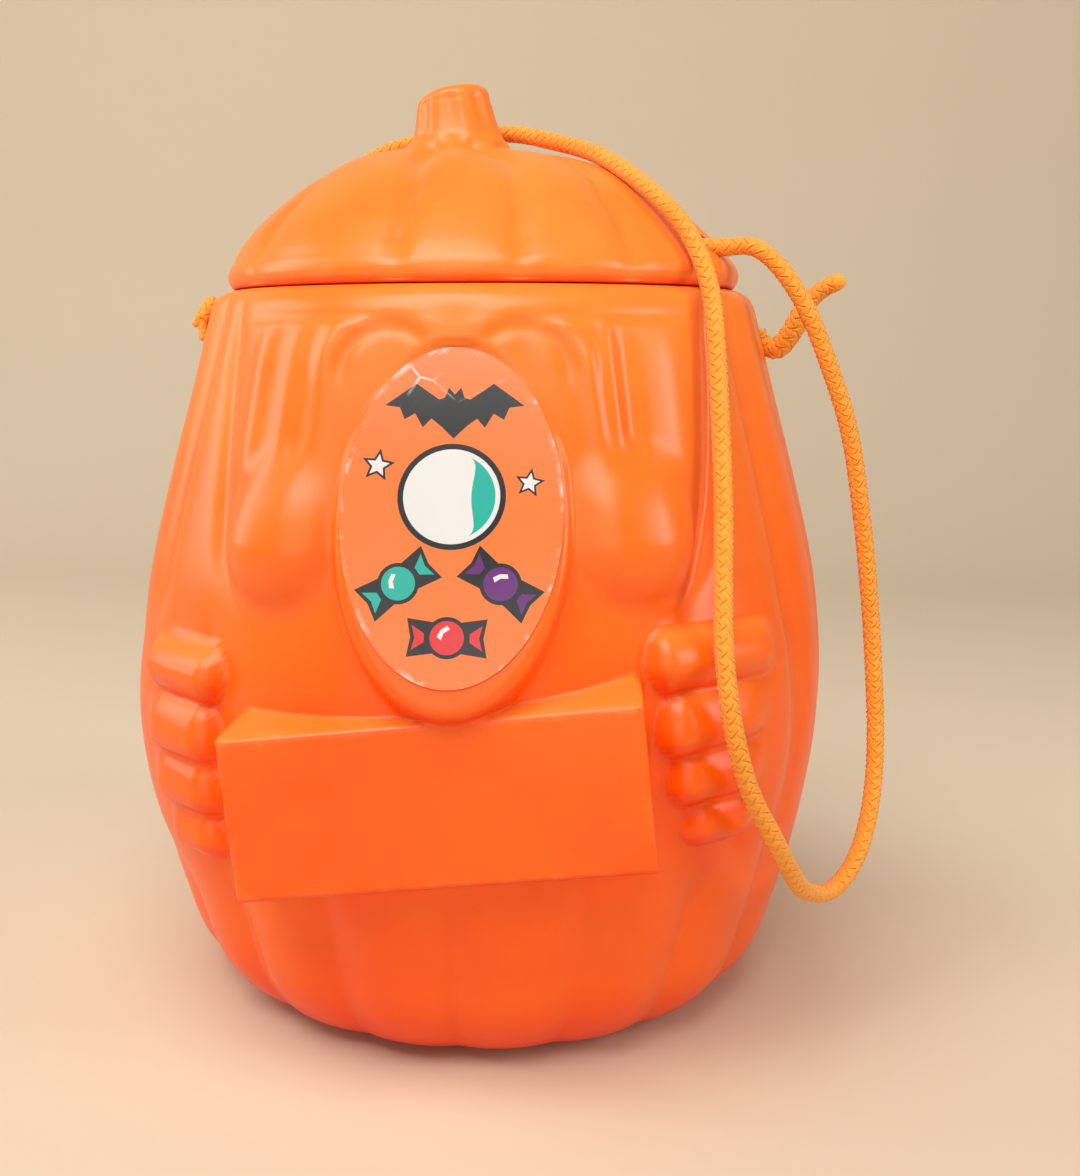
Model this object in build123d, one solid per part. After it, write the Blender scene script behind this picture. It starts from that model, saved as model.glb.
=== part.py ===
from build123d import *
import math
import os

# Pumpkin candy pail, millimetres, +Z up, front towards -Y, origin under the middle of the foot.
# Angles round the pail start at the front and grow towards +X.

# Pail
body_height = 165.0
belly_radius = 82.0
wall = 2.0
floor_thickness = 2.4
lip_thickness = 3.0
lip_width = 2.5
shoulder_round = 7.8
shoulder_ease = 0.3
lobe_count = 18
groove_depth = 2.4
foot_hollow_radius = 42.0
foot_hollow_depth = 3.0
foot_hollow_draft = 4.0

# Lid
lid_overhang = 2.5
dome_height = 31.6
lid_wall = 2.0
lid_groove_depth = 1.8
lid_turn = 10.0
crown_shift = 5.6
plug_depth = 6.0
plug_thickness = 2.0
plug_clearance = 0.4
seat_thickness = 2.2
stem_height = 15.4
stem_radius = 11.6
stem_flutes = 8
stem_flute_depth = 0.9
stem_slant = 1.4

# Cord and its holes
cord_diameter = 4.0
cord_clearance = 0.6
body_hole_height = 154.5
lid_hole_height = 174.5
lid_hole_angle = 70.0
hole_length = 30.0
bend_share = 0.45
knot_length = 11.0
knot_width = 6.8

# Face panel and its label
face_height = 121.0
face_sink = 6.2
face_front = belly_radius - face_sink
face_lean = 20.0
panel_half_width = 24.0
panel_half_height = 38.0
panel_drop = 2.4
panel_depth = 16.0
panel_round = 3.2
label_half_width = 21.4
label_half_height = 33.4
label_thickness = 0.3
label_margin = 0.8

# Sign
sign_width = 82.0
sign_height = 33.5
sign_centre_height = 66.0
sign_shift = -1.5
sign_stand = 3.0
sign_front = belly_radius + sign_stand
sign_tilt = 5.0
sign_depth = 26.0
sign_draft = 4.0
sign_round = 1.6
sign_corner = 2.0

# Hands
finger_radius = 5.3
finger_lift = 1.2
thumb_radius = 4.8
palm_half_width = 23.0
palm_half_height = 29.0
palm_half_depth = 10.0
palm_sink = 7.0

# Cheeks, brows and temple folds
cheek_angle = 28.7
cheek_height = 113.5
cheek_half_width = 13.5
cheek_half_height = 17.0
cheek_half_depth = 9.0
cheek_lean = 16.0
cheek_sink = 2.6
brow_angle = 11.4
brow_height = 149.3
brow_radius = 9.8
brow_bead = 2.7
brow_sink = 1.9
brow_tilt = 13.0
fold_half_width = 3.4
fold_half_height = 15.0
fold_half_depth = 4.0
fold_sink = 2.9
fold_height = 142.0
fold_slant = 3.0
fold_angles = (-35.5, -28.0, 26.5, 32.0)

# Overrun of every cut
overrun = 1.0

# Side of the belly: radius, height
belly_shares = [
    (0.632, 0.000),
    (0.756, 0.027),
    (0.840, 0.073),
    (0.908, 0.158),
    (0.966, 0.279),
    (1.000, 0.436),
    (0.974, 0.594),
    (0.906, 0.739),
    (0.838, 0.861),
    (0.764, 1.000),
]
belly_rings = 16
# Groove depths: at the foot, beside the temples, and the heights between which they change
foot_groove_share = 0.45
foot_ease_shares = (0.00, 0.08)
face_ease_shares = (0.20, 0.40)
temple_groove_share = 1.75
temple_ease_shares = (0.45, 0.75)
slope_step_share = 0.03

# Lid rings: height, crest radius, groove, shift of the crown
lid_shares = [
    (0.000, 0.966, 0.30, 0.00),
    (0.045, 0.992, 0.50, 0.00),
    (0.100, 1.000, 0.80, 0.00),
    (0.200, 0.976, 1.00, 0.00),
    (0.340, 0.915, 1.00, 0.00),
    (0.480, 0.832, 1.00, 0.00),
    (0.610, 0.742, 1.00, 0.03),
    (0.730, 0.652, 1.00, 0.14),
    (0.850, 0.541, 1.00, 0.34),
    (0.940, 0.410, 0.90, 0.62),
    (1.000, 0.262, 0.70, 1.00),
]

# Stem rings: height, radius, flute depth
stem_shares = [
    (-0.28, 1.200, 0.8),
    (0.04, 1.020, 1.0),
    (0.30, 0.880, 1.0),
    (0.60, 0.790, 1.0),
    (0.86, 0.735, 1.0),
    (0.96, 0.660, 0.8),
    (1.00, 0.540, 0.5),
]

# Fingers of each hand: height share of the body, inner angle, outer angle
right_finger_shares = [(0.458, 32.5, 50.0), (0.394, 34.0, 51.0), (0.326, 37.0, 50.0)]
left_finger_shares = [(0.436, -37.0, -55.0), (0.367, -37.5, -54.0), (0.298, -38.0, -51.0)]
right_thumb_share = (0.533, 31.5, 47.0)
left_thumb_share = (0.500, -35.5, -54.0)
palm_angle = 51.0
right_palm_share = 0.445
left_palm_share = 0.410

# Route of the cord from inside the lid, out to the right, over the lid and back in on the left
handle_route = [
    (40.0, -10.0, 165.0),
    (39.4, -12.34, 168.9),
    (43.2, -15.4, 172.6),
    (48.8, -17.8, 174.2),
    (55.0, -20.0, 174.6),
    (61.5, -21.8, 175.4),
    (67.5, -23.3, 173.2),
    (72.2, -24.4, 167.8),
    (75.6, -25.0, 160.0),
    (79.0, -24.6, 149.0),
    (82.8, -23.4, 135.0),
    (86.2, -22.0, 118.0),
    (89.2, -20.8, 99.0),
    (91.2, -21.0, 80.0),
    (92.2, -23.2, 62.5),
    (90.8, -28.0, 49.0),
    (87.0, -34.0, 39.0),
    (80.8, -40.5, 33.8),
    (73.1, -51.6, 38.0),
    (68.7, -61.2, 45.9),
    (64.2, -67.4, 55.4),
    (58.1, -71.2, 66.5),
    (54.2, -74.2, 80.6),
    (52.4, -72.5, 93.5),
    (52.3, -67.0, 106.0),
    (52.6, -60.6, 121.0),
    (51.9, -54.6, 138.0),
    (51.2, -48.5, 153.0),
    (50.3, -42.1, 164.5),
    (47.2, -37.0, 173.5),
    (43.2, -33.8, 181.4),
    (35.7, -25.3, 190.0),
    (27.0, -11.8, 197.0),
    (17.0, 2.0, 200.6),
    (6.5, 11.0, 202.8),
    (-6.0, 14.2, 203.0),
    (-18.0, 14.2, 200.6),
    (-29.0, 18.2, 196.8),
    (-38.2, 26.0, 190.4),
    (-44.8, 34.0, 181.2),
    (-51.5, 38.0, 174.6),
    (-58.0, 34.2, 171.8),
    (-61.8, 28.0, 172.2),
    (-60.8, 22.6, 173.8),
    (-55.0, 20.0, 174.6),
    (-48.8, 17.8, 174.2),
    (-43.2, 15.4, 172.6),
    (-39.4, 12.34, 168.9),
    (-40.0, 10.0, 165.0),
]
# Route of each hidden end, from the pail's hole to the lid's stretch, right-hand side
inner_route = [
    (66.6, 0.0, 154.5),
    (60.0, 0.0, 154.5),
    (52.5, -0.8, 154.3),
    (45.5, -3.0, 155.2),
    (41.0, -6.1, 158.5),
    (40.0, -10.0, 165.0),
]
right_tail_route = [
    (68.6, -0.5, 154.0),
    (73.0, -2.0, 157.5),
    (77.8, -3.6, 162.3),
    (83.0, -5.0, 166.6),
]
left_tail_route = [(-68.6, 0.5, 157.0), (-72.0, 1.6, 156.6), (-75.2, 3.0, 153.4)]
right_knot_centre = (70.6, -0.8, 155.4)
left_knot_centre = (-69.4, 0.6, 157.0)
right_knot_slant = 38.0
left_knot_slant = -12.0


def round_point(radius, angle):
    bearing = math.radians(angle)
    return (radius * math.sin(bearing), -radius * math.cos(bearing))


def lobed_ring(crest_radius, groove_depths, height, turn=0.0, shift=0.0):
    lobes = len(groove_depths)
    pitch = 360 / lobes
    valleys = [round_point(crest_radius - depth, turn + pitch * i) for i, depth in enumerate(groove_depths)]
    crests = [round_point(crest_radius, turn + pitch * (i + 0.5)) for i in range(lobes)]
    arcs = [ThreePointArc(valleys[i], crests[i], valleys[(i + 1) % lobes]) for i in range(lobes)]
    return Pos(-shift, 0, height) * Face(Wire(arcs))


# Smooth step from 0 to 1 between two values
def ease(low, high, value):
    part = min(1, max(0, (value - low) / (high - low)))
    return part * part * (3 - 2 * part)


# Points of the side, evenly spaced along it
def belly_side():
    side = Spline(*[(belly_radius * radius, body_height * height) for radius, height in belly_shares])
    step = side.length / (belly_rings - 1)
    return [side.position_at(step * i, PositionMode.LENGTH) for i in range(belly_rings)]


side_points = belly_side()


def belly(inset, bottom, top):
    rings = []
    for point in side_points:
        share = point.Y / body_height
        groove = groove_depth * (foot_groove_share + (1 - foot_groove_share) * ease(*foot_ease_shares, share))
        depths = [groove] * lobe_count
        for index in (-1, 0, 1):
            depths[index] = groove * (1 - ease(*face_ease_shares, share))
        for index in (-2, 2):
            depths[index] = groove * (1 + (temple_groove_share - 1) * ease(*temple_ease_shares, share))
        rings.append(lobed_ring(point.X - inset, depths, bottom + (top - bottom) * share))
    return loft(rings)


def skin_radius(height):
    for lower, upper in zip(side_points, side_points[1:]):
        if height <= upper.Y:
            part = (height - lower.Y) / (upper.Y - lower.Y)
            return lower.X + part * (upper.X - lower.X)
    return side_points[-1].X


lip_edge = skin_radius(body_height - shoulder_round) + shoulder_ease - shoulder_round
mouth_radius = lip_edge - lip_width
lid_radius = lip_edge + lid_overhang


# Ring that trims the top edge to a rounded shoulder
def shoulder_trim():
    reach = lip_edge + 2 * shoulder_round
    start = body_height - shoulder_round
    top = body_height + overrun
    outline = Polyline(
        (lip_edge + shoulder_round, start),
        (reach, start),
        (reach, top),
        (lip_edge, top),
        (lip_edge, body_height),
    )
    turn = CenterArc((lip_edge, start), shoulder_round, 0, 90)
    return revolve(Plane.XZ * make_face([outline, turn]), Axis.Z)


# Plane on the pail's skin, normal outwards, local Y up the skin
def skin_plane(angle, height, sink=0.0):
    step = body_height * slope_step_share
    lean = math.atan2(skin_radius(height - step) - skin_radius(height + step), 2 * step)
    bearing = math.radians(angle)
    x, y = round_point(skin_radius(height), angle)
    along = (math.cos(bearing), math.sin(bearing), 0)
    flat = math.cos(lean)
    out = (math.sin(bearing) * flat, -math.cos(bearing) * flat, math.sin(lean))
    return Plane(origin=(x, y, height), x_dir=along, z_dir=out).offset(-sink)


def ellipsoid(half_width, half_height, half_depth):
    return scale(Sphere(1), by=(half_width, half_height, half_depth))


# Rounded bead that lies along the skin at one height
def bead_round_skin(radius, lift, height, inner_angle, outer_angle):
    start = min(inner_angle, outer_angle)
    span = abs(outer_angle - inner_angle)
    reach = skin_radius(height) + lift
    section = Plane.XZ * Pos(reach, height) * Circle(radius)
    bead = Rot(0, 0, start - 90) * revolve(section, Axis.Z, span)
    ends = [Pos(*round_point(reach, angle), height) * Sphere(radius) for angle in (inner_angle, outer_angle)]
    return bead + ends


def face_plane():
    lean = math.radians(face_lean)
    out = (0, -math.cos(lean), math.sin(lean))
    return Plane(origin=(0, -face_front, face_height), x_dir=(1, 0, 0), z_dir=out)


def face_panel(inset):
    disc = Cylinder(panel_half_width - inset, panel_depth, align=(Align.CENTER, Align.CENTER, Align.MAX))
    disc = fillet(disc.edges().group_by(Axis.Z)[-1], panel_round)
    stretch = (panel_half_height - inset) / (panel_half_width - inset)
    return face_plane() * Pos(0, -panel_drop, -inset) * scale(disc, by=(1, stretch, 1))


# Space in front of the label, which sinks into the forehead
def label_recess():
    outline = Ellipse(label_half_width + label_margin, label_half_height + label_margin)
    return face_plane() * extrude(outline, panel_depth)


def sign(inset):
    tilt = math.radians(sign_tilt)
    plane = Plane(
        origin=(sign_shift, -sign_front + inset, sign_centre_height),
        x_dir=(math.cos(tilt), 0, math.sin(tilt)),
        z_dir=(0, -1, 0),
    )
    width = sign_width - 2 * inset
    height = sign_height - 2 * inset
    front = plane * RectangleRounded(width, height, sign_corner)
    spread = 2 * sign_draft
    back = plane.offset(-sign_depth) * RectangleRounded(width + spread, height + spread, sign_corner)
    slab = loft([back, front], ruled=True)
    return fillet(slab.faces().sort_by(Axis.Y)[0].edges(), sign_round)


def cheeks(inset):
    bulges = []
    for angle in (-cheek_angle, cheek_angle):
        bulge = ellipsoid(cheek_half_width - inset, cheek_half_height - inset, cheek_half_depth - inset)
        bulges.append(skin_plane(angle, cheek_height, cheek_sink) * Rot(-cheek_lean, 0, 0) * bulge)
    return bulges


# Tilted rings whose lower half sinks into the skin
def brows():
    ridges = []
    for angle in (-brow_angle, brow_angle):
        ring = Torus(brow_radius, brow_bead)
        ridges.append(skin_plane(angle, brow_height, brow_sink) * Rot(brow_tilt, 0, 0) * ring)
    return ridges


def temple_folds():
    ridges = []
    for angle in fold_angles:
        ridge = ellipsoid(fold_half_width, fold_half_height, fold_half_depth)
        slant = math.copysign(fold_slant, angle)
        ridges.append(skin_plane(angle, fold_height, fold_sink) * Rot(0, 0, slant) * ridge)
    return ridges


def hands():
    pieces = []
    for height_share, inner, outer in right_finger_shares + left_finger_shares:
        pieces.append(bead_round_skin(finger_radius, finger_lift, body_height * height_share, inner, outer))
    for height_share, inner, outer in (right_thumb_share, left_thumb_share):
        pieces.append(bead_round_skin(thumb_radius, finger_lift, body_height * height_share, inner, outer))
    for angle, height_share in ((palm_angle, right_palm_share), (-palm_angle, left_palm_share)):
        palm = ellipsoid(palm_half_width, palm_half_height, palm_half_depth)
        pieces.append(skin_plane(angle, body_height * height_share, palm_sink) * palm)
    return pieces


def radial_hole(angle, height):
    bore = Cylinder(cord_diameter / 2 + cord_clearance, hole_length)
    return Rot(0, 0, angle - 90) * Pos(lid_radius, 0, height) * Rot(0, 90, 0) * bore


def pail_body():
    outer = belly(0, 0, body_height) + cheeks(0) + face_panel(0) + sign(0)
    outer = outer + hands() + brows() + temple_folds()
    outer = outer - shoulder_trim() - label_recess()
    cavity = belly(wall, floor_thickness, body_height - lip_thickness)
    cavity = cavity + cheeks(wall) + face_panel(wall) + sign(wall)
    behind_label = extrude(Ellipse(panel_half_width, panel_half_height), panel_depth)
    cavity = cavity - face_plane().offset(-wall) * behind_label
    hollow_top = foot_hollow_radius - foot_hollow_draft
    at_floor = (Align.CENTER, Align.CENTER, Align.MIN)
    hollow = Cone(foot_hollow_radius, hollow_top, foot_hollow_depth, align=at_floor)
    raised_height = foot_hollow_depth + floor_thickness
    raised = Cone(foot_hollow_radius + wall, hollow_top + wall, raised_height, align=at_floor)
    mouth = Pos(0, 0, body_height) * Cylinder(mouth_radius, 2 * (lip_thickness + overrun))
    body = outer - (cavity - raised) - mouth - hollow
    for angle in (-90, 90):
        body = body - radial_hole(angle, body_hole_height)
    return body


def dome(inset, bottom, top):
    rings = []
    for height_share, radius_share, groove_share, shift_share in lid_shares:
        depths = [lid_groove_depth * groove_share] * lobe_count
        radius = lid_radius * radius_share - inset
        height = bottom + (top - bottom) * height_share
        rings.append(lobed_ring(radius, depths, height, lid_turn, crown_shift * shift_share))
    return Pos(0, 0, body_height) * loft(rings)


def stem(inset):
    rings = []
    for height_share, radius_share, flute_share in stem_shares:
        depths = [stem_flute_depth * flute_share] * stem_flutes
        height = (stem_height - inset) * height_share
        shift = crown_shift + stem_slant * height_share
        rings.append(lobed_ring(stem_radius * radius_share - inset, depths, height, 0, shift))
    return Pos(0, 0, body_height + dome_height) * loft(rings)


def lid():
    plug_radius = mouth_radius - plug_clearance
    bore_radius = plug_radius - plug_thickness
    at_floor = (Align.CENTER, Align.CENTER, Align.MIN)
    at_top = (Align.CENTER, Align.CENTER, Align.MAX)
    shell = dome(0, 0, dome_height) + stem(0)
    shell = shell - (dome(lid_wall, -overrun, dome_height - lid_wall) + stem(lid_wall))
    seat_radius = lid_radius * lid_shares[0][1] - lid_wall / 2
    seat = Pos(0, 0, body_height) * Cylinder(seat_radius, seat_thickness, align=at_floor)
    plug = Cylinder(plug_radius, plug_depth + seat_thickness, align=at_top)
    plug = Pos(0, 0, body_height + seat_thickness) * plug
    bore = Pos(0, 0, body_height) * Cylinder(bore_radius, 2 * (plug_depth + seat_thickness))
    shell = shell + (seat + plug - bore)
    for angle in (lid_hole_angle, lid_hole_angle + 180):
        shell = shell - radial_hole(angle, lid_hole_height)
    return shell


def face_sticker():
    return face_plane() * extrude(Ellipse(label_half_width, label_half_height), label_thickness)


def cord(name, route):
    radii = []
    for before, corner, after in zip(route, route[1:], route[2:]):
        arrive = Vector(corner) - Vector(before)
        leave = Vector(after) - Vector(corner)
        shorter = min(arrive.length, leave.length)
        radii.append(bend_share * shorter / math.tan(math.radians(arrive.get_angle(leave)) / 2))
    path = FilletPolyline(*route, radius=radii)
    tube = sweep(Plane(origin=path @ 0, z_dir=path % 0) * Circle(cord_diameter / 2), path)
    plain_volume = math.pi * cord_diameter**2 / 4 * path.length
    print(name, "length", round(path.length, 1), "volume share", round(tube.volume / plain_volume, 4))
    print(name, "radii", [round(radius, 1) for radius in radii])
    return tube


def knot(name, centre, slant, tail_route, inner_cord):
    half = knot_width / 2
    lump = Pos(*centre) * Rot(0, slant, 0) * ellipsoid(half, half, knot_length / 2)
    return lump + cord(name, tail_route) - inner_cord


os.makedirs("parts", exist_ok=True)
inner_right = cord("cord_inner_right", inner_route)
inner_left = Rot(0, 0, 180) * inner_right
nodes = {
    "pail_body": pail_body(),
    "lid": lid(),
    "face_sticker": face_sticker(),
    "handle_cord": cord("handle_cord", handle_route),
    "cord_inner_right": inner_right,
    "cord_inner_left": inner_left,
    "knot_right": knot("knot_right", right_knot_centre, right_knot_slant, right_tail_route, inner_right),
    "knot_left": knot("knot_left", left_knot_centre, left_knot_slant, left_tail_route, inner_left),
}
for name, solid in nodes.items():
    solid.label = name
    export_step(solid, f"parts/{name}.step")
    print(name, "volume", round(solid.volume))
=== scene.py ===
import math

import bmesh
import bpy
import numpy as np
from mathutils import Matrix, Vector


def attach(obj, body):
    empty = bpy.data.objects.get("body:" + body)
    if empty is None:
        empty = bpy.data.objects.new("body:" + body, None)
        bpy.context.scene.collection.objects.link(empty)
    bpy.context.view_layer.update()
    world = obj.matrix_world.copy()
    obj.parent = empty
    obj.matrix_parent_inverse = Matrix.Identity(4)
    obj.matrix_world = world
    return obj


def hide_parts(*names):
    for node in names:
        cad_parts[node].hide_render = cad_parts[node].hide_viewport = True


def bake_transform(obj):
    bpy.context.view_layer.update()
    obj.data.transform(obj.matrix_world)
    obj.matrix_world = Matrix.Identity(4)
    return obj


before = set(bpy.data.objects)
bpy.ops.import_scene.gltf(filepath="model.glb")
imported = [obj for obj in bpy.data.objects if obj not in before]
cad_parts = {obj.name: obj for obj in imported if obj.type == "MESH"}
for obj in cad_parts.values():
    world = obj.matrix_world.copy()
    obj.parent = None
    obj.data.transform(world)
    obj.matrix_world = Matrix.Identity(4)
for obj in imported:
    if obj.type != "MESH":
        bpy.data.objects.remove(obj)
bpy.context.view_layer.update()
scene = bpy.context.scene
scene.view_settings.view_transform = "Standard"
mm = 0.001
print("frame loaded")


def paint(red, green, blue):  # screen colour, 0 to 255
    shares = (red / 255, green / 255, blue / 255)
    return tuple(c / 12.92 if c < 0.04 else ((c + 0.055) / 1.055) ** 2.4 for c in shares) + (1,)


def ease(low, high, value):
    part = np.clip((value - low) / (high - low), 0, 1)
    return part * part * (3 - 2 * part)


def smoothMax(a, b, width):
    part = np.clip(0.5 + 0.5 * (a - b) / width, 0, 1)
    return b + (a - b) * part + width * part * (1 - part)


def smoothMin(a, b, width):
    return -smoothMax(-a, -b, width)


def smoothLine(points, perSpan=24):  # smooth line through given points
    p = np.array(points, float)
    gap = np.linalg.norm(np.diff(p, axis=0), axis=1)[:, None]
    slope = np.diff(p, axis=0) / gap
    middle = (slope[1:] * gap[:-1] + slope[:-1] * gap[1:]) / (gap[:-1] + gap[1:])
    lean = np.vstack([slope[:1], middle, slope[-1:]])
    t = np.linspace(0, 1, perSpan, endpoint=False)[:, None]
    spans = []
    for i in range(len(gap)):
        spans.append(
            (2 * t**3 - 3 * t**2 + 1) * p[i]
            + (t**3 - 2 * t**2 + t) * lean[i] * gap[i]
            + (3 * t**2 - 2 * t**3) * p[i + 1]
            + (t**3 - t**2) * lean[i + 1] * gap[i]
        )
    return np.vstack(spans + [p[-1:]])


def alongLine(line):
    return np.concatenate([[0], np.cumsum(np.linalg.norm(np.diff(line, axis=0), axis=1))])


def evenLine(line, count):
    along = alongLine(line)
    at = np.linspace(0, along[-1], count)
    return np.stack([np.interp(at, along, line[:, k]) for k in range(line.shape[1])], axis=1)


def spinProfile(rows, steps):  # profile rows of radius and height, turned full circle from the back
    bm = bmesh.new()
    rowTag = bm.verts.layers.int.new("row")
    made = []
    for index, (radius, height) in enumerate(rows):
        vert = bm.verts.new((0, radius, height))
        vert[rowTag] = index
        made.append(vert)
    for a, b in zip(made, made[1:]):
        bm.edges.new((a, b))
    bmesh.ops.spin(bm, geom=bm.verts[:] + bm.edges[:], cent=(0, 0, 0), axis=(0, 0, 1),
                   dvec=(0, 0, 0), angle=2 * math.pi, steps=steps, use_merge=True)
    bmesh.ops.remove_doubles(bm, verts=bm.verts, dist=0.001)
    row = np.array([v[rowTag] for v in bm.verts])
    place = np.array([v.co[:] for v in bm.verts])
    theta = np.degrees(np.arctan2(place[:, 0], -place[:, 1]))
    return bm, row, theta


def setPlaces(bm, places):
    for vert, place in zip(bm.verts, places):
        vert.co = place


def markPoints(bm, name, values):  # one number for each point, for the material to read
    layer = bm.verts.layers.float.new(name)
    for vert, value in zip(bm.verts, values):
        vert[layer] = value


def lookingUp(bm, outside):  # how far each point of the outside looks up or down, which sets the painted light and shade
    bm.normal_update()
    return [vert.normal.z if shown else 0 for vert, shown in zip(bm.verts, outside)]


def dress(name, bm, materials, body, nodes, sharp=None):  # bmesh in millimetres to a riding piece
    bmesh.ops.scale(bm, vec=(mm, mm, mm), verts=bm.verts)
    mesh = bpy.data.meshes.new(name)
    bm.to_mesh(mesh)
    bm.free()
    for material in materials:
        mesh.materials.append(material)
    mesh.polygons.foreach_set("use_smooth", [True] * len(mesh.polygons))
    if sharp:
        mesh.set_sharp_from_angle(angle=math.radians(sharp))
    piece = bpy.data.objects.new(name, mesh)
    scene.collection.objects.link(piece)
    if body:
        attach(piece, body)
    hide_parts(*nodes)
    return piece


def drillHoles(piece, drills):  # each drill is start, end, radius in millimetres
    for number, (start, end, radius) in enumerate(drills):
        a, b = Vector(start), Vector(end)
        bm = bmesh.new()
        bmesh.ops.create_cone(bm, cap_ends=True, segments=cordHole["sides"], radius1=radius, radius2=radius,
                              depth=(b - a).length)
        turn = (b - a).to_track_quat("Z", "Y").to_matrix().to_4x4()
        bmesh.ops.transform(bm, matrix=turn, verts=bm.verts)
        bmesh.ops.translate(bm, vec=(a + b) / 2, verts=bm.verts)
        bmesh.ops.scale(bm, vec=(mm, mm, mm), verts=bm.verts)
        mesh = bpy.data.meshes.new("drill")
        bm.to_mesh(mesh)
        bm.free()
        cutter = bpy.data.objects.new("drill", mesh)
        scene.collection.objects.link(cutter)
        cut = piece.modifiers.new("hole%d" % number, "BOOLEAN")
        cut.object = cutter
        cut.operation = "DIFFERENCE"
        cut.solver = "MANIFOLD"
        bpy.context.view_layer.objects.active = piece
        bpy.ops.object.modifier_apply(modifier=cut.name)
        bpy.data.objects.remove(cutter)
        bpy.data.meshes.remove(mesh)


# Materials

def addNode(tree, kind, **values):
    node = tree.nodes.new(kind)
    for name, value in values.items():
        setattr(node, name, value)
    return node


def fill(node, **values):  # sets sockets by name, with underscores for spaces
    for name, value in values.items():
        node.inputs[name.replace("_", " ")].default_value = value
    return node


def mixColour(tree, factor, a, b):
    mix = addNode(tree, "ShaderNodeMix", data_type="RGBA")
    tree.links.new(factor, mix.inputs[0])
    for socket, value in ((mix.inputs[6], a), (mix.inputs[7], b)):
        if isinstance(value, tuple):
            socket.default_value = value
        else:
            tree.links.new(value, socket)
    return mix.outputs[2]


def spread(tree, value, low, high, outLow, outHigh):  # clamped change of range
    ramp = addNode(tree, "ShaderNodeMapRange")
    fill(ramp, From_Min=low, From_Max=high, To_Min=outLow, To_Max=outHigh)
    tree.links.new(value, ramp.inputs["Value"])
    return ramp.outputs["Result"]


def sums(tree, operation, a, b):
    node = addNode(tree, "ShaderNodeMath", operation=operation)
    for socket, value in zip(node.inputs, (a, b)):
        if isinstance(value, (int, float)):
            socket.default_value = value
        else:
            tree.links.new(value, socket)
    return node.outputs["Value"]


def addBump(tree, shader, height, strength, depth):
    bump = fill(addNode(tree, "ShaderNodeBump"), Strength=strength, Distance=depth)
    tree.links.new(height, bump.inputs["Height"])
    tree.links.new(bump.outputs["Normal"], shader.inputs["Normal"])


def handlingGroup():  # cloudy tone, fine grain, dark specks and rubbed patches
    tree = bpy.data.node_groups.new("handling", "ShaderNodeTree")
    tree.interface.new_socket("Vector", in_out="INPUT", socket_type="NodeSocketVector")
    for name in ("Cloud Scale", "Grain Scale", "Speck Scale", "Speck Share"):
        tree.interface.new_socket(name, in_out="INPUT", socket_type="NodeSocketFloat")
    for name in ("Cloud", "Grain", "Specks", "Rub"):
        tree.interface.new_socket(name, in_out="OUTPUT", socket_type="NodeSocketFloat")
    start = addNode(tree, "NodeGroupInput")
    end = addNode(tree, "NodeGroupOutput")
    cloud = fill(addNode(tree, "ShaderNodeTexNoise"), Detail=4.0, Roughness=0.55)
    grain = fill(addNode(tree, "ShaderNodeTexNoise"), Detail=2.0, Roughness=0.6)
    rub = fill(addNode(tree, "ShaderNodeTexNoise"), Scale=140.0, Detail=5.0, Roughness=0.7)
    dots = addNode(tree, "ShaderNodeTexVoronoi")
    for node in (cloud, grain, rub, dots):
        tree.links.new(start.outputs["Vector"], node.inputs["Vector"])
    tree.links.new(start.outputs["Cloud Scale"], cloud.inputs["Scale"])
    tree.links.new(start.outputs["Grain Scale"], grain.inputs["Scale"])
    tree.links.new(start.outputs["Speck Scale"], dots.inputs["Scale"])
    picked = addNode(tree, "ShaderNodeSeparateColor")
    tree.links.new(dots.outputs["Color"], picked.inputs["Color"])
    chosen = sums(tree, "LESS_THAN", picked.outputs["Red"], start.outputs["Speck Share"])
    size = spread(tree, picked.outputs["Green"], 0, 1, 0.02, 0.05)
    inside = sums(tree, "LESS_THAN", dots.outputs["Distance"], size)
    tree.links.new(cloud.outputs["Fac"], end.inputs["Cloud"])
    tree.links.new(grain.outputs["Fac"], end.inputs["Grain"])
    tree.links.new(sums(tree, "MULTIPLY", chosen, inside), end.inputs["Specks"])
    tree.links.new(spread(tree, rub.outputs["Fac"], 0.5, 0.66, 0, 1), end.inputs["Rub"])
    return tree


handling = handlingGroup()


def newMaterial(name, **sockets):
    material = bpy.data.materials.new(name)
    material.use_nodes = True
    tree = material.node_tree
    shader = tree.nodes["Principled BSDF"]
    fill(shader, **sockets)
    return material, tree, shader


def handled(tree, **sockets):
    place = addNode(tree, "ShaderNodeTexCoord")
    node = addNode(tree, "ShaderNodeGroup", node_tree=handling)
    fill(node, **sockets)
    tree.links.new(place.outputs["Object"], node.inputs["Vector"])
    return node


plasticFinish = dict(
    deep=(paint(255, 88, 0), paint(255, 124, 38)),  # each tone plain, and paler under painted top light
    light=(paint(255, 100, 3), paint(255, 136, 50)),
    paintedLightHeights=(0.070, 0.165),  # metres; painted top light grows between these heights
    paintedLightFacing=(0.35, 0.9, 0, 0.9),  # from how far a face looks up to how much painted top light it gets
    # painted shade: faces that look down are tinted deep red
    paintedShadeFacing=(-0.25, -0.85, 0, 0.75),
    paintedShadeColour=paint(244, 52, 0),
    rubbed=paint(255, 150, 92),
    speck=paint(120, 34, 6),
    gloss=(0.28, 0.36),
    dulled=0.15,  # roughness that rubbing adds
    grain=0.08,
    grainDepth=0.0003,
    wear=0.22,
    marks=dict(Cloud_Scale=26.0, Grain_Scale=620.0, Speck_Scale=62.0, Speck_Share=0.018),
)


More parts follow.
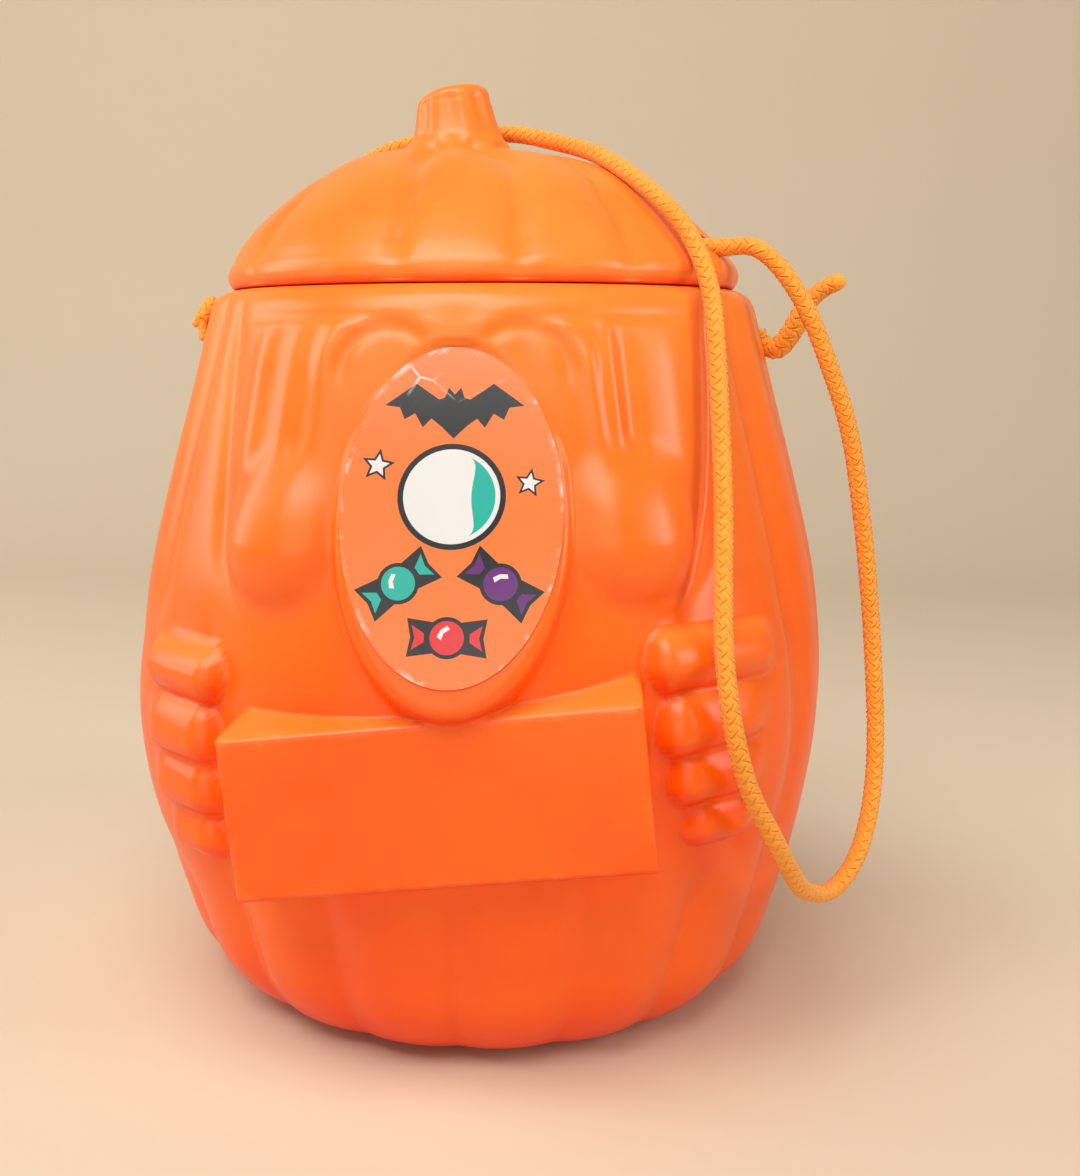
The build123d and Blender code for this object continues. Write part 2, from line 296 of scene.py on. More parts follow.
def orangePlastic():
    material, tree, shader = newMaterial("orangePlastic", IOR=1.49, Specular_IOR_Level=0.42)
    worn = handled(tree, **plasticFinish["marks"])
    tone = spread(tree, worn.outputs["Cloud"], 0.35, 0.65, 0, 1)
    place = addNode(tree, "ShaderNodeTexCoord")
    split = addNode(tree, "ShaderNodeSeparateXYZ")
    tree.links.new(place.outputs["Object"], split.inputs["Vector"])
    # painted top light: the plastic is made paler with height and on faces that look up
    fadeAndPaintedLight = spread(tree, split.outputs["Z"], *plasticFinish["paintedLightHeights"], 0, 1)
    facing = addNode(tree, "ShaderNodeAttribute", attribute_name="facing").outputs["Fac"]
    fadeAndPaintedLight = sums(tree, "MAXIMUM", fadeAndPaintedLight, spread(tree, facing, *plasticFinish["paintedLightFacing"]))
    deep = mixColour(tree, fadeAndPaintedLight, *plasticFinish["deep"])
    light = mixColour(tree, fadeAndPaintedLight, *plasticFinish["light"])
    colour = mixColour(tree, tone, deep, light)
    # painted shade on faces that look down
    undersideShade = spread(tree, facing, *plasticFinish["paintedShadeFacing"])
    colour = mixColour(tree, undersideShade, colour, plasticFinish["paintedShadeColour"])
    edge = addNode(tree, "ShaderNodeAttribute", attribute_name="edge")
    rubbed = sums(tree, "MULTIPLY", edge.outputs["Fac"], worn.outputs["Rub"])
    bared = sums(tree, "MULTIPLY", rubbed, plasticFinish["wear"])
    colour = mixColour(tree, bared, colour, plasticFinish["rubbed"])
    colour = mixColour(tree, worn.outputs["Specks"], colour, plasticFinish["speck"])
    tree.links.new(colour, shader.inputs["Base Color"])
    gloss = spread(tree, worn.outputs["Cloud"], 0.3, 0.7, *plasticFinish["gloss"])
    gloss = sums(tree, "ADD", gloss, sums(tree, "MULTIPLY", rubbed, plasticFinish["dulled"]))
    tree.links.new(gloss, shader.inputs["Roughness"])
    addBump(tree, shader, worn.outputs["Grain"], plasticFinish["grain"], plasticFinish["grainDepth"])
    return material


cordFinish = dict(
    shade=paint(255, 140, 18), light=paint(255, 188, 64), fibres=26.0, roughness=0.72,
    fuzzTone=0.7, cloudTone=0.55,  # how far each one lightens the yarn
    relief=0.5, reliefDepth=0.00025,
    marks=dict(Cloud_Scale=160.0, Grain_Scale=2600.0, Speck_Scale=90.0, Speck_Share=0.0),
)


def braidedYarn():
    material, tree, shader = newMaterial("braidedYarn", Roughness=cordFinish["roughness"], IOR=1.48,
                                         Sheen_Weight=0.25, Sheen_Roughness=0.4)
    place = addNode(tree, "ShaderNodeUVMap", uv_map="fibreMap")
    wave = fill(addNode(tree, "ShaderNodeTexWave", bands_direction="Y"),
                Scale=cordFinish["fibres"] / (2 * math.pi), Distortion=1.6, Detail=2.0, Detail_Scale=3.0)
    tree.links.new(place.outputs["UV"], wave.inputs["Vector"])
    worn = handled(tree, **cordFinish["marks"])
    fuzz = sums(tree, "MULTIPLY", wave.outputs["Fac"], worn.outputs["Grain"])
    tone = sums(tree, "ADD", sums(tree, "MULTIPLY", fuzz, cordFinish["fuzzTone"]),
                sums(tree, "MULTIPLY", worn.outputs["Cloud"], cordFinish["cloudTone"]))
    colour = mixColour(tree, tone, cordFinish["shade"], cordFinish["light"])
    tree.links.new(colour, shader.inputs["Base Color"])
    addBump(tree, shader, fuzz, cordFinish["relief"], cordFinish["reliefDepth"])
    return material


labelPlane = dict(
    front=75.8, height=121.0, lean=20.0, halfWidth=21.4, halfHeight=33.4, thickness=0.3, sunk=0.2,
)
inkFinish = dict(
    paper=paint(222, 216, 207), speck=paint(150, 110, 84),
    wornEdge=(0.955, 1.0),  # share of the way from the middle to the edge
    crackScale=70.0, crackWidth=0.012, crackedTop=(0.62, 0.9),
    fadeShare=0.93, fadeLift=0.02, waviness=0.04, waveDepth=0.0002,
    marks=dict(Cloud_Scale=60.0, Grain_Scale=900.0, Speck_Scale=300.0, Speck_Share=0.012),
)


def printedInk(name, colour):  # glossy print, rubbed white along the label's edge and cracked at its top
    material, tree, shader = newMaterial(name, Roughness=0.26, IOR=1.5, Coat_Weight=0.35, Coat_Roughness=0.12)
    worn = handled(tree, **inkFinish["marks"])
    place = addNode(tree, "ShaderNodeTexCoord")
    flat = addNode(tree, "ShaderNodeMapping", vector_type="TEXTURE")
    flat.inputs["Location"].default_value = (0, -labelPlane["front"] * mm, labelPlane["height"] * mm)
    flat.inputs["Rotation"].default_value = (-math.radians(labelPlane["lean"]), 0, 0)
    flat.inputs["Scale"].default_value = (labelPlane["halfWidth"] * mm, 1, labelPlane["halfHeight"] * mm)
    tree.links.new(place.outputs["Object"], flat.inputs["Vector"])
    reach = addNode(tree, "ShaderNodeVectorMath", operation="LENGTH")
    tree.links.new(flat.outputs["Vector"], reach.inputs[0])
    rim = spread(tree, reach.outputs["Value"], *inkFinish["wornEdge"], 0, 1)
    chips = sums(tree, "MULTIPLY", rim, worn.outputs["Rub"])
    crack = addNode(tree, "ShaderNodeTexVoronoi", feature="DISTANCE_TO_EDGE")
    fill(crack, Scale=inkFinish["crackScale"])
    tree.links.new(place.outputs["Object"], crack.inputs["Vector"])
    thin = sums(tree, "LESS_THAN", crack.outputs["Distance"], inkFinish["crackWidth"])
    split = addNode(tree, "ShaderNodeSeparateXYZ")
    tree.links.new(flat.outputs["Vector"], split.inputs["Vector"])
    top = spread(tree, split.outputs["Z"], *inkFinish["crackedTop"], 0, 1)
    cracks = sums(tree, "MULTIPLY", sums(tree, "MULTIPLY", thin, top), worn.outputs["Rub"])
    bare = sums(tree, "MAXIMUM", chips, cracks)
    tone = spread(tree, worn.outputs["Cloud"], 0.3, 0.7, 0, 1)
    fadeAndPaintedLight = tuple(inkFinish["fadeShare"] * c + inkFinish["fadeLift"] for c in colour[:3]) + (1,)
    shade = mixColour(tree, tone, colour, fadeAndPaintedLight)
    shade = mixColour(tree, bare, shade, inkFinish["paper"])
    shade = mixColour(tree, worn.outputs["Specks"], shade, inkFinish["speck"])
    tree.links.new(shade, shader.inputs["Base Color"])
    addBump(tree, shader, worn.outputs["Cloud"], inkFinish["waviness"], inkFinish["waveDepth"])
    return material


plastic = orangePlastic()
yarn = braidedYarn()
print("materials made")

# Camera, lights and floor

shot = dict(place=(26.08, -339.0, 153.8), pitch=10.04, heading=5.5, lens=42.857, shift=0.0724)  # mm, degrees
camera = bpy.data.objects.new("camera", bpy.data.cameras.new("camera"))
camera.data.lens = shot["lens"]
camera.data.clip_start = 0.01
camera.data.shift_x = shot["shift"]
camera.location = Vector(shot["place"]) * mm
camera.rotation_euler = (math.radians(90 - shot["pitch"]), 0, math.radians(shot["heading"]))
scene.collection.objects.link(camera)
scene.camera = camera

lamps = [  # name, place, aim, width and height in metres, power in watts
    ("softboxTop", (-0.2, -0.6, 1.2), (0, 0, 0.12), 1.1, 0.9, 17.4),
    ("windowFront", (-0.25, -1.5, 0.45), (0, 0, 0.1), 1.4, 0.9, 5.2),
    ("windowLeft", (-1.0, 0.1, 0.55), (0, 0, 0.12), 0.6, 0.8, 4.3),
    ("windowRight", (0.85, -0.28, 0.44), (0, 0, 0.12), 0.32, 0.5, 2.9),
]
for name, place, aim, width, height, power in lamps:
    light = bpy.data.lights.new(name, "AREA")
    light.shape = "RECTANGLE"
    light.size, light.size_y, light.energy = width, height, power
    lamp = bpy.data.objects.new(name, light)
    lamp.location = place
    lamp.rotation_euler = (Vector(aim) - Vector(place)).to_track_quat("-Z", "Y").to_euler()
    scene.collection.objects.link(lamp)

world = bpy.data.worlds.new("softRoom")
world.use_nodes = True
fill(world.node_tree.nodes["Background"], Color=(1.0, 0.97, 0.93, 1), Strength=0.08)
scene.world = world

sweep = dict(width=4.0, front=-1.6, back=0.55, bend=0.35, top=1.8, colour=paint(216, 197, 170))  # metres


def floorSweep():
    bm = bmesh.new()
    half = sweep["width"] / 2
    turn = [math.radians(a) for a in range(0, 91, 6)]
    line = [(sweep["front"], 0)]
    line += [(sweep["back"] + sweep["bend"] * math.sin(a), sweep["bend"] * (1 - math.cos(a))) for a in turn]
    line += [(sweep["back"] + sweep["bend"], sweep["top"])]
    verts = [bm.verts.new((-half, y, z)) for y, z in line]
    edges = [bm.edges.new(pair) for pair in zip(verts, verts[1:])]
    grown = bmesh.ops.extrude_edge_only(bm, edges=edges)["geom"]
    moved = [v for v in grown if isinstance(v, bmesh.types.BMVert)]
    bmesh.ops.translate(bm, vec=(sweep["width"], 0, 0), verts=moved)
    bmesh.ops.recalc_face_normals(bm, faces=bm.faces)
    mesh = bpy.data.meshes.new("floor")
    bm.to_mesh(mesh)
    bm.free()
    mesh.polygons.foreach_set("use_smooth", [True] * len(mesh.polygons))
    floor = bpy.data.objects.new("floor", mesh)
    scene.collection.objects.link(floor)
    mesh.materials.append(newMaterial("paleFloor", Base_Color=sweep["colour"], Roughness=0.85)[0])


floorSweep()
print("camera, lights and floor set")

# Cords, with every route in millimetres

handleRoute = [  # from the lid's right hole to its left one
    (40.0, -10.0, 165.0), (39.4, -12.34, 168.9), (43.2, -15.4, 172.6), (48.8, -17.8, 174.2),
    (55.0, -20.0, 173.7), (59.8, -21.6, 174.3), (63.6, -23.0, 172.2), (67.7, -24.0, 167.8),
    (72.7, -24.8, 160.0), (77.5, -24.6, 148.6), (82.8, -23.4, 135.0), (86.2, -22.0, 118.0),
    (89.2, -20.8, 99.0), (91.2, -21.0, 80.0), (92.2, -23.2, 62.5), (90.8, -28.0, 49.0),
    (87.0, -34.0, 39.0), (80.8, -40.5, 33.8), (73.1, -51.6, 38.0), (68.7, -61.2, 45.9),
    (64.2, -67.4, 55.4), (58.1, -71.2, 66.5), (54.2, -74.2, 80.6), (52.4, -72.5, 93.5),
    (52.3, -67.0, 106.0), (52.6, -60.6, 121.0), (51.9, -54.6, 138.0), (51.2, -48.5, 153.0),
    (50.3, -42.1, 164.5), (47.2, -37.0, 173.5), (43.2, -33.8, 179.8), (35.7, -25.3, 187.6),
    (27.0, -11.8, 195.0), (17.0, 2.0, 199.4), (6.5, 11.0, 202.8), (-6.0, 14.2, 203.0),
    (-18.0, 14.2, 201.3), (-29.0, 18.2, 198.6), (-38.2, 26.0, 192.2), (-44.8, 34.0, 181.2),
    (-51.5, 38.0, 174.6), (-58.0, 34.2, 171.8), (-61.8, 28.0, 172.2), (-60.8, 22.6, 173.8),
    (-55.0, 20.0, 174.6), (-48.8, 17.8, 174.2), (-43.2, 15.4, 172.6), (-39.4, 12.34, 168.9),
    (-40.0, 10.0, 165.0),
]
innerRoute = [  # from the pail's right hole up to the lid
    (66.6, 0.0, 154.5), (60.0, 0.0, 154.5), (52.5, -0.8, 154.3),
    (45.5, -3.0, 155.2), (41.0, -6.1, 158.5), (40.0, -10.0, 165.0),
]
rightTail = [
    (64.5, 0.0, 154.4), (68.4, -1.5, 150.6), (71.6, -4.0, 154.6),
    (74.4, -5.6, 160.8), (77.6, -6.8, 165.4), (81.2, -8.0, 166.7),
]
leftTail = [
    (-64.5, 0.0, 154.6), (-67.6, 0.4, 154.8), (-67.6, 0.0, 159.6),
    (-64.9, -1.6, 162.8), (-65.6, -4.0, 161.5), (-67.0, -5.0, 158.6),
]
leftStubs = [
    [(-66.9, -4.6, 160.2), (-67.6, -5.2, 158.9), (-68.2, -5.6, 157.8)],
    [(-67.0, -4.8, 159.4), (-66.8, -5.4, 156.8), (-66.6, -5.8, 154.5)],
]
# share of the way along a tail, and how much thicker it is there
rightKnotSwell = [(0, 1.0), (0.2, 1.3), (0.36, 1.3), (0.6, 1.26), (0.72, 1.06), (1, 1.0)]
leftKnotSwell = [(0, 1.0), (0.3, 0.95), (0.6, 1.05), (0.85, 0.95), (1, 0.7)]
stubSwell = [(0, 0.6), (1, 0.5)]
meltedRadius = dict(right=1.9, stub=1.0)


def routeLine(points):  # smooth line of a cord, read back from its own spline, in millimetres
    curve = bpy.data.curves.new("route", "CURVE")
    curve.dimensions = "3D"
    spline = curve.splines.new("NURBS")
    spline.points.add(len(points) - 1)
    for point, place in zip(spline.points, points):
        point.co = (*place, 1)
    spline.order_u = 3
    spline.use_endpoint_u = True
    spline.resolution_u = 12
    holder = bpy.data.objects.new("route", curve)
    mesh = bpy.data.meshes.new_from_object(holder)
    line = np.array([v.co[:] for v in mesh.vertices])
    bpy.data.meshes.remove(mesh)
    bpy.data.objects.remove(holder)
    bpy.data.curves.remove(curve)
    return line


def carriedFrames(line):  # two directions across the line, carried along it without twist
    run = np.gradient(line, axis=0)
    run /= np.linalg.norm(run, axis=1)[:, None]
    across = np.zeros_like(run)
    first = np.cross(run[0], (0.3, 0.2, 1))
    across[0] = first / np.linalg.norm(first)
    for i in range(1, len(run)):
        kept = across[i - 1] - run[i] * (across[i - 1] @ run[i])
        across[i] = kept / np.linalg.norm(kept)
    return run, across, np.cross(run, across)


braidSizes = dict(
    lay=10.0, pairs=4, middle=1.34, weave=0.17, halfWidth=1.28, halfThick=0.45, core=1.46, step=0.62, sides=8,
)


def braid(bm, line, swell=None):  # crossing strands round a core, along a line in millimetres
    sizes = braidSizes
    length = alongLine(line)[-1]
    count = max(12, int(length / sizes["step"]))
    line = evenLine(line, count + 1)
    run, across, up = carriedFrames(line)
    share = np.linspace(0, 1, count + 1)
    grow = np.ones(count + 1) if swell is None else np.interp(share, *zip(*swell))
    strands = [(way, number) for way in (1, -1) for number in range(sizes["pairs"])] + [(0, 0)]
    for way, number in strands:
        sheet = bmesh.ops.create_grid(bm, x_segments=count, y_segments=sizes["sides"], size=1, calc_uvs=True)
        verts = sheet["verts"]
        spot = np.array([v.co[:2] for v in verts])
        i = np.rint((spot[:, 0] + 1) / 2 * count).astype(int)
        around = (spot[:, 1] + 1) * math.pi
        s = share[i] * length
        if way:
            turn = way * 2 * math.pi * s / sizes["lay"] + number * 2 * math.pi / sizes["pairs"]
            over = np.cos(2 * math.pi * s * sizes["pairs"] / sizes["lay"])
            out = sizes["middle"] + way * sizes["weave"] * over
            lift = out + sizes["halfThick"] * np.cos(around)
            slide = sizes["halfWidth"] * np.sin(around)
        else:
            turn, lift, slide = around, np.full(len(i), sizes["core"]), np.zeros(len(i))
        outward = np.cos(turn)[:, None] * across[i] + np.sin(turn)[:, None] * up[i]
        sideways = np.cos(turn)[:, None] * up[i] - np.sin(turn)[:, None] * across[i]
        places = line[i] + grow[i, None] * (lift[:, None] * outward + slide[:, None] * sideways)
        for vert, place in zip(verts, places):
            vert.co = place
    bmesh.ops.remove_doubles(bm, verts=bm.verts, dist=0.0005)
    return line


def meltedEnd(bm, centre, radius):
    blob = bmesh.ops.create_icosphere(bm, subdivisions=3, radius=radius, calc_uvs=True)["verts"]
    bmesh.ops.translate(bm, vec=centre, verts=blob)


def newCord():
    bm = bmesh.new()
    bm.loops.layers.uv.new("fibreMap")
    return bm


def closeEnds(bm):
    bmesh.ops.holes_fill(bm, edges=[e for e in bm.edges if e.is_boundary], sides=0)
    bmesh.ops.recalc_face_normals(bm, faces=bm.faces)


bm = newCord()
handleLine = braid(bm, routeLine(handleRoute))
closeEnds(bm)
handle = dress("handleCord", bm, [yarn], "lid", ["handle_cord"])

bm = newCord()
end = braid(bm, routeLine(rightTail), rightKnotSwell)[-1]
meltedEnd(bm, end, meltedRadius["right"])
closeEnds(bm)
knotRight = dress("knotRight", bm, [yarn], "pail", ["knot_right"])

bm = newCord()
braid(bm, routeLine(leftTail), leftKnotSwell)
for stub in leftStubs:
    end = braid(bm, routeLine(stub), stubSwell)[-1]
    meltedEnd(bm, end, meltedRadius["stub"])
closeEnds(bm)
knotLeft = dress("knotLeft", bm, [yarn], "pail", ["knot_left"])

for side, knot, node in ((1, knotRight, "cord_inner_right"), (-1, knotLeft, "cord_inner_left")):
    bm = newCord()
    line = braid(bm, routeLine([(side * x, side * y, z) for x, y, z in innerRoute]))
    closeEnds(bm)
    name = "innerCordRight" if side > 0 else "innerCordLeft"
    inner = dress(name, bm, [yarn], None, [node])
    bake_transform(inner)
print("cords braided")

# Pail

pailShape = dict(
    height=165.0, wall=2.0, lobes=18, frontColumns=260, backColumns=120, frontHalf=60.0,
    lipEdge=57.1, lipWidth=2.5, shoulder=7.8, shoulderStep=8, shoulderBlend=0.8,
    rowStep=1.12, fineStep=0.42, frontCosine=0.35,
)
sideLine = smoothLine([  # radius and height along the lobes' crests
    (51.8, 0.0), (62.0, 4.5), (68.7, 12.0), (73.9, 26.1), (78.8, 46.0),
    (82.0, 71.9), (79.9, 98.0), (74.3, 121.9), (68.7, 142.1), (62.6, 165.0),
])
footLine = [(0, 3.0), (20, 3.0), (36, 3.0), (38.4, 2.8), (41.2, 0.5), (42.2, 0.0), (47, 0.0)]
lipLine = [(1.2, 165), (0.4, 164.8), (0.05, 164.3), (0, 163.4), (0, 162.4), (0.5, 162)]  # out from the mouth
bowlLine = [(57, 5.2), (53, 3.8), (47, 3.0), (45.2, 3.1), (41, 5.3), (20, 5.4), (0, 5.4)]
groove = dict(
    depth=2.4, power=2.2, flat=0.93, blend=0.2, foot=(0, 13),
    # the grooves stop short of the front between these angles and heights
    handSide=(28, 34), handHeight=(30, 60), templeSide=(46, 54), templeHeight=(80, 105),
)
signBoard = dict(
    halfWidth=41.8, halfHeight=16.75, height=66.0, shift=-2.3, front=85.0, tilt=6.4, blend=1.6,
    ends=(1.8, 2.2), longEdges=(1.5, 5.0),  # rounding and slope
)
facePanel = dict(
    halfWidth=24.0, halfHeight=38.0, drop=2.4, edge=(4.2, 2.0), blend=1.6,
    labelGap=0.6, labelSlope=1.6, labelBlend=0.5,
)
templeEdge = dict(  # degrees from the front at each height
    height=(98, 110, 122, 142, 161), right=(31, 37, 41, 46, 50), left=(32, 38, 40, 44, 48), inner=12,
)
templeRise = dict(height=(98, 106, 114, 150, 163), rise=(-3, 0.6, 2.3, 2.2, 1.0), fall=3.0, power=3.4)
templeCut = dict(right=3.4, left=1.3, past=1.6, width=3.0, low=(98, 118), high=(150, 163))
cheek = dict(
    angle=27.2, right=115.8, left=114.0, halfWidth=14.2, up=21.0, down=14.0, rise=7.4,
    sidePower=2.6, upPower=2, downPower=1.45, templeBlend=2.4, blend=2.0,
)
browSizes = dict(
    centres=(12.2, -13.4), height=147.0, radius=11.2, raised=0.9, sunk=0.8,
    ridge=(1.6, 2.6), valley=(-1.5, 1.5), inner=(-20, 20), outer=(110, 155),
)
folds = [  # angle, slant in degrees to a millimetre, rise, width, lowest and highest end
    (21.6, 0.05, 0.9, 1.9, 133, 155), (25.2, 0.02, 0.8, 1.8, 135, 160), (28.6, 0.0, -0.8, 2.2, 132, 155),
    (37.0, 0.0, 0.7, 5.4, 128, 158), (-36.0, 0.0, 0.7, 2.8, 128, 158), (-28.6, 0.0, 0.7, 2.8, 128, 158),
    (-22.2, 0.0, 0.7, 2.8, 130, 158),
]
foldEnds = dict(low=(-5, 5), high=(-6, 3))
fingers = [  # side, lower crease, height, inner angle, outer angle, rise, climb towards the wrist
    (1, 72.0, 13.6, 29.0, 54, 5.8, 3.0),
    (1, 62.0, 12.0, 31.0, 53, 5.6, 1.4),
    (1, 52.4, 11.0, 34.4, 51, 5.0, 0.8),
    (-1, 66.0, 13.8, 36.0, 60, 5.8, 1.0),
    (-1, 54.6, 12.8, 36.4, 59, 5.6, 0.4),
    (-1, 44.6, 11.4, 37.2, 55, 5.0, 0.4),
]
thumbs = [(1, 85.6, 12.4, 27.6, 54, 5.6, 0.0), (-1, 79.6, 11.4, 35.4, 57, 5.6, 0.0)]  # in the fingers' order
fingerForm = dict(underside=0.44, thinning=0.22, wave=0.0, tip=5.0, keen=0.85, fadeFrom=0.5)
thumbForm = dict(underside=0.5, thinning=0.0, wave=0.1, tip=4.0, keen=0.62, fadeFrom=0.7)
palms = [  # side, height, angle, half angle, half height, rise
    (1, 73.0, 46.0, 12.5, 27.0, 2.8), (-1, 64.0, 54.0, 16.0, 27.0, 2.4),
]
handForm = dict(
    arc=1.431,  # millimetres to a degree at the hands
    palmPower=3, palmReach=8, palmBlend=2.4, waveRate=0.7, waveStart=1.0, back=0.95, fade=0.9,
    skirt=12, cuff=0.8, fingerBlend=0.5, blend=1.0,
)
absent = dict(front=-20, low=-9.0)  # depths at which a form leaves no trace


def edgeDrop(past, rounding, slope):  # how far a rounded edge falls, past the edge and on down its wall
    lean = math.atan(slope)
    turn = np.clip(past + rounding, 0, rounding * math.sin(lean))
    arc = rounding - np.sqrt(rounding**2 - turn**2)
    return arc + slope * np.clip(past + rounding - rounding * math.sin(lean), 0, None)


def ovalPast(x, y, halfWidth, halfHeight):  # distance past an oval's edge, negative inside
    q = np.hypot(x / halfWidth, y / halfHeight) + 1e-6
    return (q - 1) * q / (np.hypot(x / halfWidth**2, y / halfHeight**2) + 1e-6)


def bell(distance, width):
    return np.exp(-((distance / width) ** 2))


def signAcross(theta):  # distance across the sign's front at an angle
    half = pailShape["frontHalf"]
    return signBoard["front"] * np.tan(np.radians(np.clip(theta, -half, half))) - signBoard["shift"]


def alongSign(x, z):  # places along and up the tilted sign
    tilt = math.radians(signBoard["tilt"])
    y = z - signBoard["height"]
    return x * math.cos(tilt) + y * math.sin(tilt), y * math.cos(tilt) - x * math.sin(tilt)


def digitRise(theta, z, digit, form):  # height of a finger or thumb over the skin
    way, crease, tall, inner, outer, rise, climb = digit
    u = (way * theta - inner) * handForm["arc"]
    reach = (outer - inner) * handForm["arc"]
    share = np.clip(u / reach, 0, 1)
    lift = (z - crease - climb * share) / tall
    wave = form["wave"] * np.sin(u * handForm["waveRate"] + handForm["waveStart"]) / tall
    lift = lift - wave * np.clip(1 - lift, 0, 1)
    turn = form["underside"] - form["thinning"] * share
    below = np.abs((lift - turn) / turn) ** form["keen"]
    away = np.where(lift < turn, below, handForm["back"] * (lift - turn) / (1 - turn))
    away = np.hypot(away, np.clip(1 - u / form["tip"], 0, None))
    fade = 1 - handForm["fade"] * ease(form["fadeFrom"], 1.0, share)
    roll = rise * fade * np.sqrt(np.clip(1 - away**2, 0, None))
    bump = np.where(away < 1, roll, handForm["skirt"] * (1 - away))
    return bump - handForm["cuff"] * np.clip(u - reach, 0, None)


def skinRadius(theta, z):  # outer radius of the moulded pail at an angle from the front and a height
    crest = np.interp(z, sideLine[:, 1], sideLine[:, 0])
    side = np.abs(theta)
    arc = crest * math.pi / 180  # millimetres to a degree
    cosine = np.maximum(np.cos(np.radians(theta)), pailShape["frontCosine"])
    sine = np.sin(np.radians(theta))
    atFront = side < pailShape["frontHalf"]

    turn = np.abs((theta / (360 / pailShape["lobes"]) % 1) * 2 - 1)
    depth = groove["depth"] * (0.5 + 0.5 * ease(*groove["foot"], z))
    for sides, heights in (("handSide", "handHeight"), ("templeSide", "templeHeight")):
        depth = depth * (1 - (1 - ease(*groove[sides], side)) * ease(*groove[heights], z))
    h = -depth * smoothMin(turn ** groove["power"], groove["flat"], groove["blend"])

    for way, name in ((1, "right"), (-1, "left")):
        edge = np.interp(z, templeEdge["height"], templeEdge[name])
        past = (way * theta - edge - templeCut["past"]) * arc
        cut = templeCut[name] * ease(*templeCut["low"], z) * bell(past, templeCut["width"])
        h = h - cut * (1 - 0.5 * ease(*templeCut["high"], z))
        middle, half = (edge + templeEdge["inner"]) / 2, (edge - templeEdge["inner"]) / 2
        temple = np.interp(z, templeRise["height"], templeRise["rise"])
        temple = temple - templeRise["fall"] * np.abs((way * theta - middle) / half) ** templeRise["power"]
        u = (way * theta - cheek["angle"]) * arc / cheek["halfWidth"]
        v = (z - cheek[name]) / np.where(z > cheek[name], cheek["up"], cheek["down"])
        away = np.where(v > 0, v ** cheek["upPower"], np.abs(v) ** cheek["downPower"])
        pouch = cheek["rise"] * (1 - np.abs(u) ** cheek["sidePower"] - away)
        pouch = np.maximum(pouch, absent["low"])
        h = smoothMax(h, smoothMax(temple, pouch, cheek["templeBlend"]), cheek["blend"])

    for angle, slant, rise, width, low, high in folds:
        line = (theta - angle - slant * (high - z)) * arc
        begun = ease(low + foldEnds["low"][0], low + foldEnds["low"][1], z)
        ended = ease(high + foldEnds["high"][0], high + foldEnds["high"][1], z)
        h = h + rise * bell(line, width) * begun * (1 - ended)

    for centre in browSizes["centres"]:
        u, v = theta * arc - centre, z - browSizes["height"]
        past = np.hypot(u, v) - browSizes["radius"]
        bearing = np.degrees(np.arctan2(v, u * math.copysign(1, centre)))
        shown = ease(*browSizes["inner"], bearing) * (1 - ease(*browSizes["outer"], bearing))
        ridge = bell(past - browSizes["ridge"][0], browSizes["ridge"][1])
        valley = bell(past - browSizes["valley"][0], browSizes["valley"][1])
        h = h + shown * (browSizes["raised"] * ridge - browSizes["sunk"] * valley)

    lean = math.radians(labelPlane["lean"])
    panelRadius = (labelPlane["front"] + math.tan(lean) * (labelPlane["height"] - z)) / cosine
    x, y = panelRadius * sine, (z - labelPlane["height"]) / math.cos(lean)
    past = ovalPast(x, y + facePanel["drop"], facePanel["halfWidth"], facePanel["halfHeight"])
    panel = panelRadius - edgeDrop(past, *facePanel["edge"]) - crest
    h = smoothMax(h, np.where(atFront, panel, absent["front"]), facePanel["blend"])
    gap = facePanel["labelGap"]
    past = ovalPast(x, y, labelPlane["halfWidth"] + gap, labelPlane["halfHeight"] + gap)
    bed = panelRadius + facePanel["labelSlope"] * np.clip(past, 0, None) - crest
    h = smoothMin(h, bed, facePanel["labelBlend"])

    a, b = alongSign(signBoard["front"] * sine / cosine - signBoard["shift"], z)
    dropEnds = edgeDrop(np.abs(a) - signBoard["halfWidth"], *signBoard["ends"])
    dropEdges = edgeDrop(np.abs(b) - signBoard["halfHeight"], *signBoard["longEdges"])
    board = signBoard["front"] / cosine - np.cbrt(dropEnds**3 + dropEdges**3)
    h = smoothMax(h, np.where(atFront, board - crest, absent["front"]), signBoard["blend"])

    power = handForm["palmPower"]
    for way, height, angle, halfAngle, halfHeight, rise in palms:
        away = np.abs((way * theta - angle) / halfAngle) ** power + np.abs((z - height) / halfHeight) ** power
        h = smoothMax(h, rise * (1 - np.minimum(away, handForm["palmReach"])), handForm["palmBlend"])
    hand = np.full_like(h, absent["low"])
    for digit, form in [(f, fingerForm) for f in fingers] + [(t, thumbForm) for t in thumbs]:
        bump = np.maximum(digitRise(theta, z, digit, form), absent["low"])
        hand = smoothMax(hand, bump, handForm["fingerBlend"])
    return crest + smoothMax(h, hand, handForm["blend"])


wornEdge = dict(inset=0.6, width=1.3, side=45)


def edgeWear(theta, z):  # where the sign's edges are rubbed
    a, b = alongSign(signAcross(theta), z)
    past = np.maximum(np.abs(a) - signBoard["halfWidth"], np.abs(b) - signBoard["halfHeight"])
    return bell(past + wornEdge["inset"], wornEdge["width"]) * (np.abs(theta) < wornEdge["side"])


signRows = dict(half=16.8, width=2.6, samples=4000)  # rows crowd at the sign's long edges
rowTilt = dict(reach=46, low=(22, 46), high=(87, 112), side=(60, 100))
hollow = dict(
    guide=60.0, span=(161.4, 8), rows=30, lowest=2, neck=157, neckWall=4,
    aside=(-1.5, 1.5), above=(-3.4, 0, 3.4),  # where the skin is felt for, so that the wall is thick enough
)


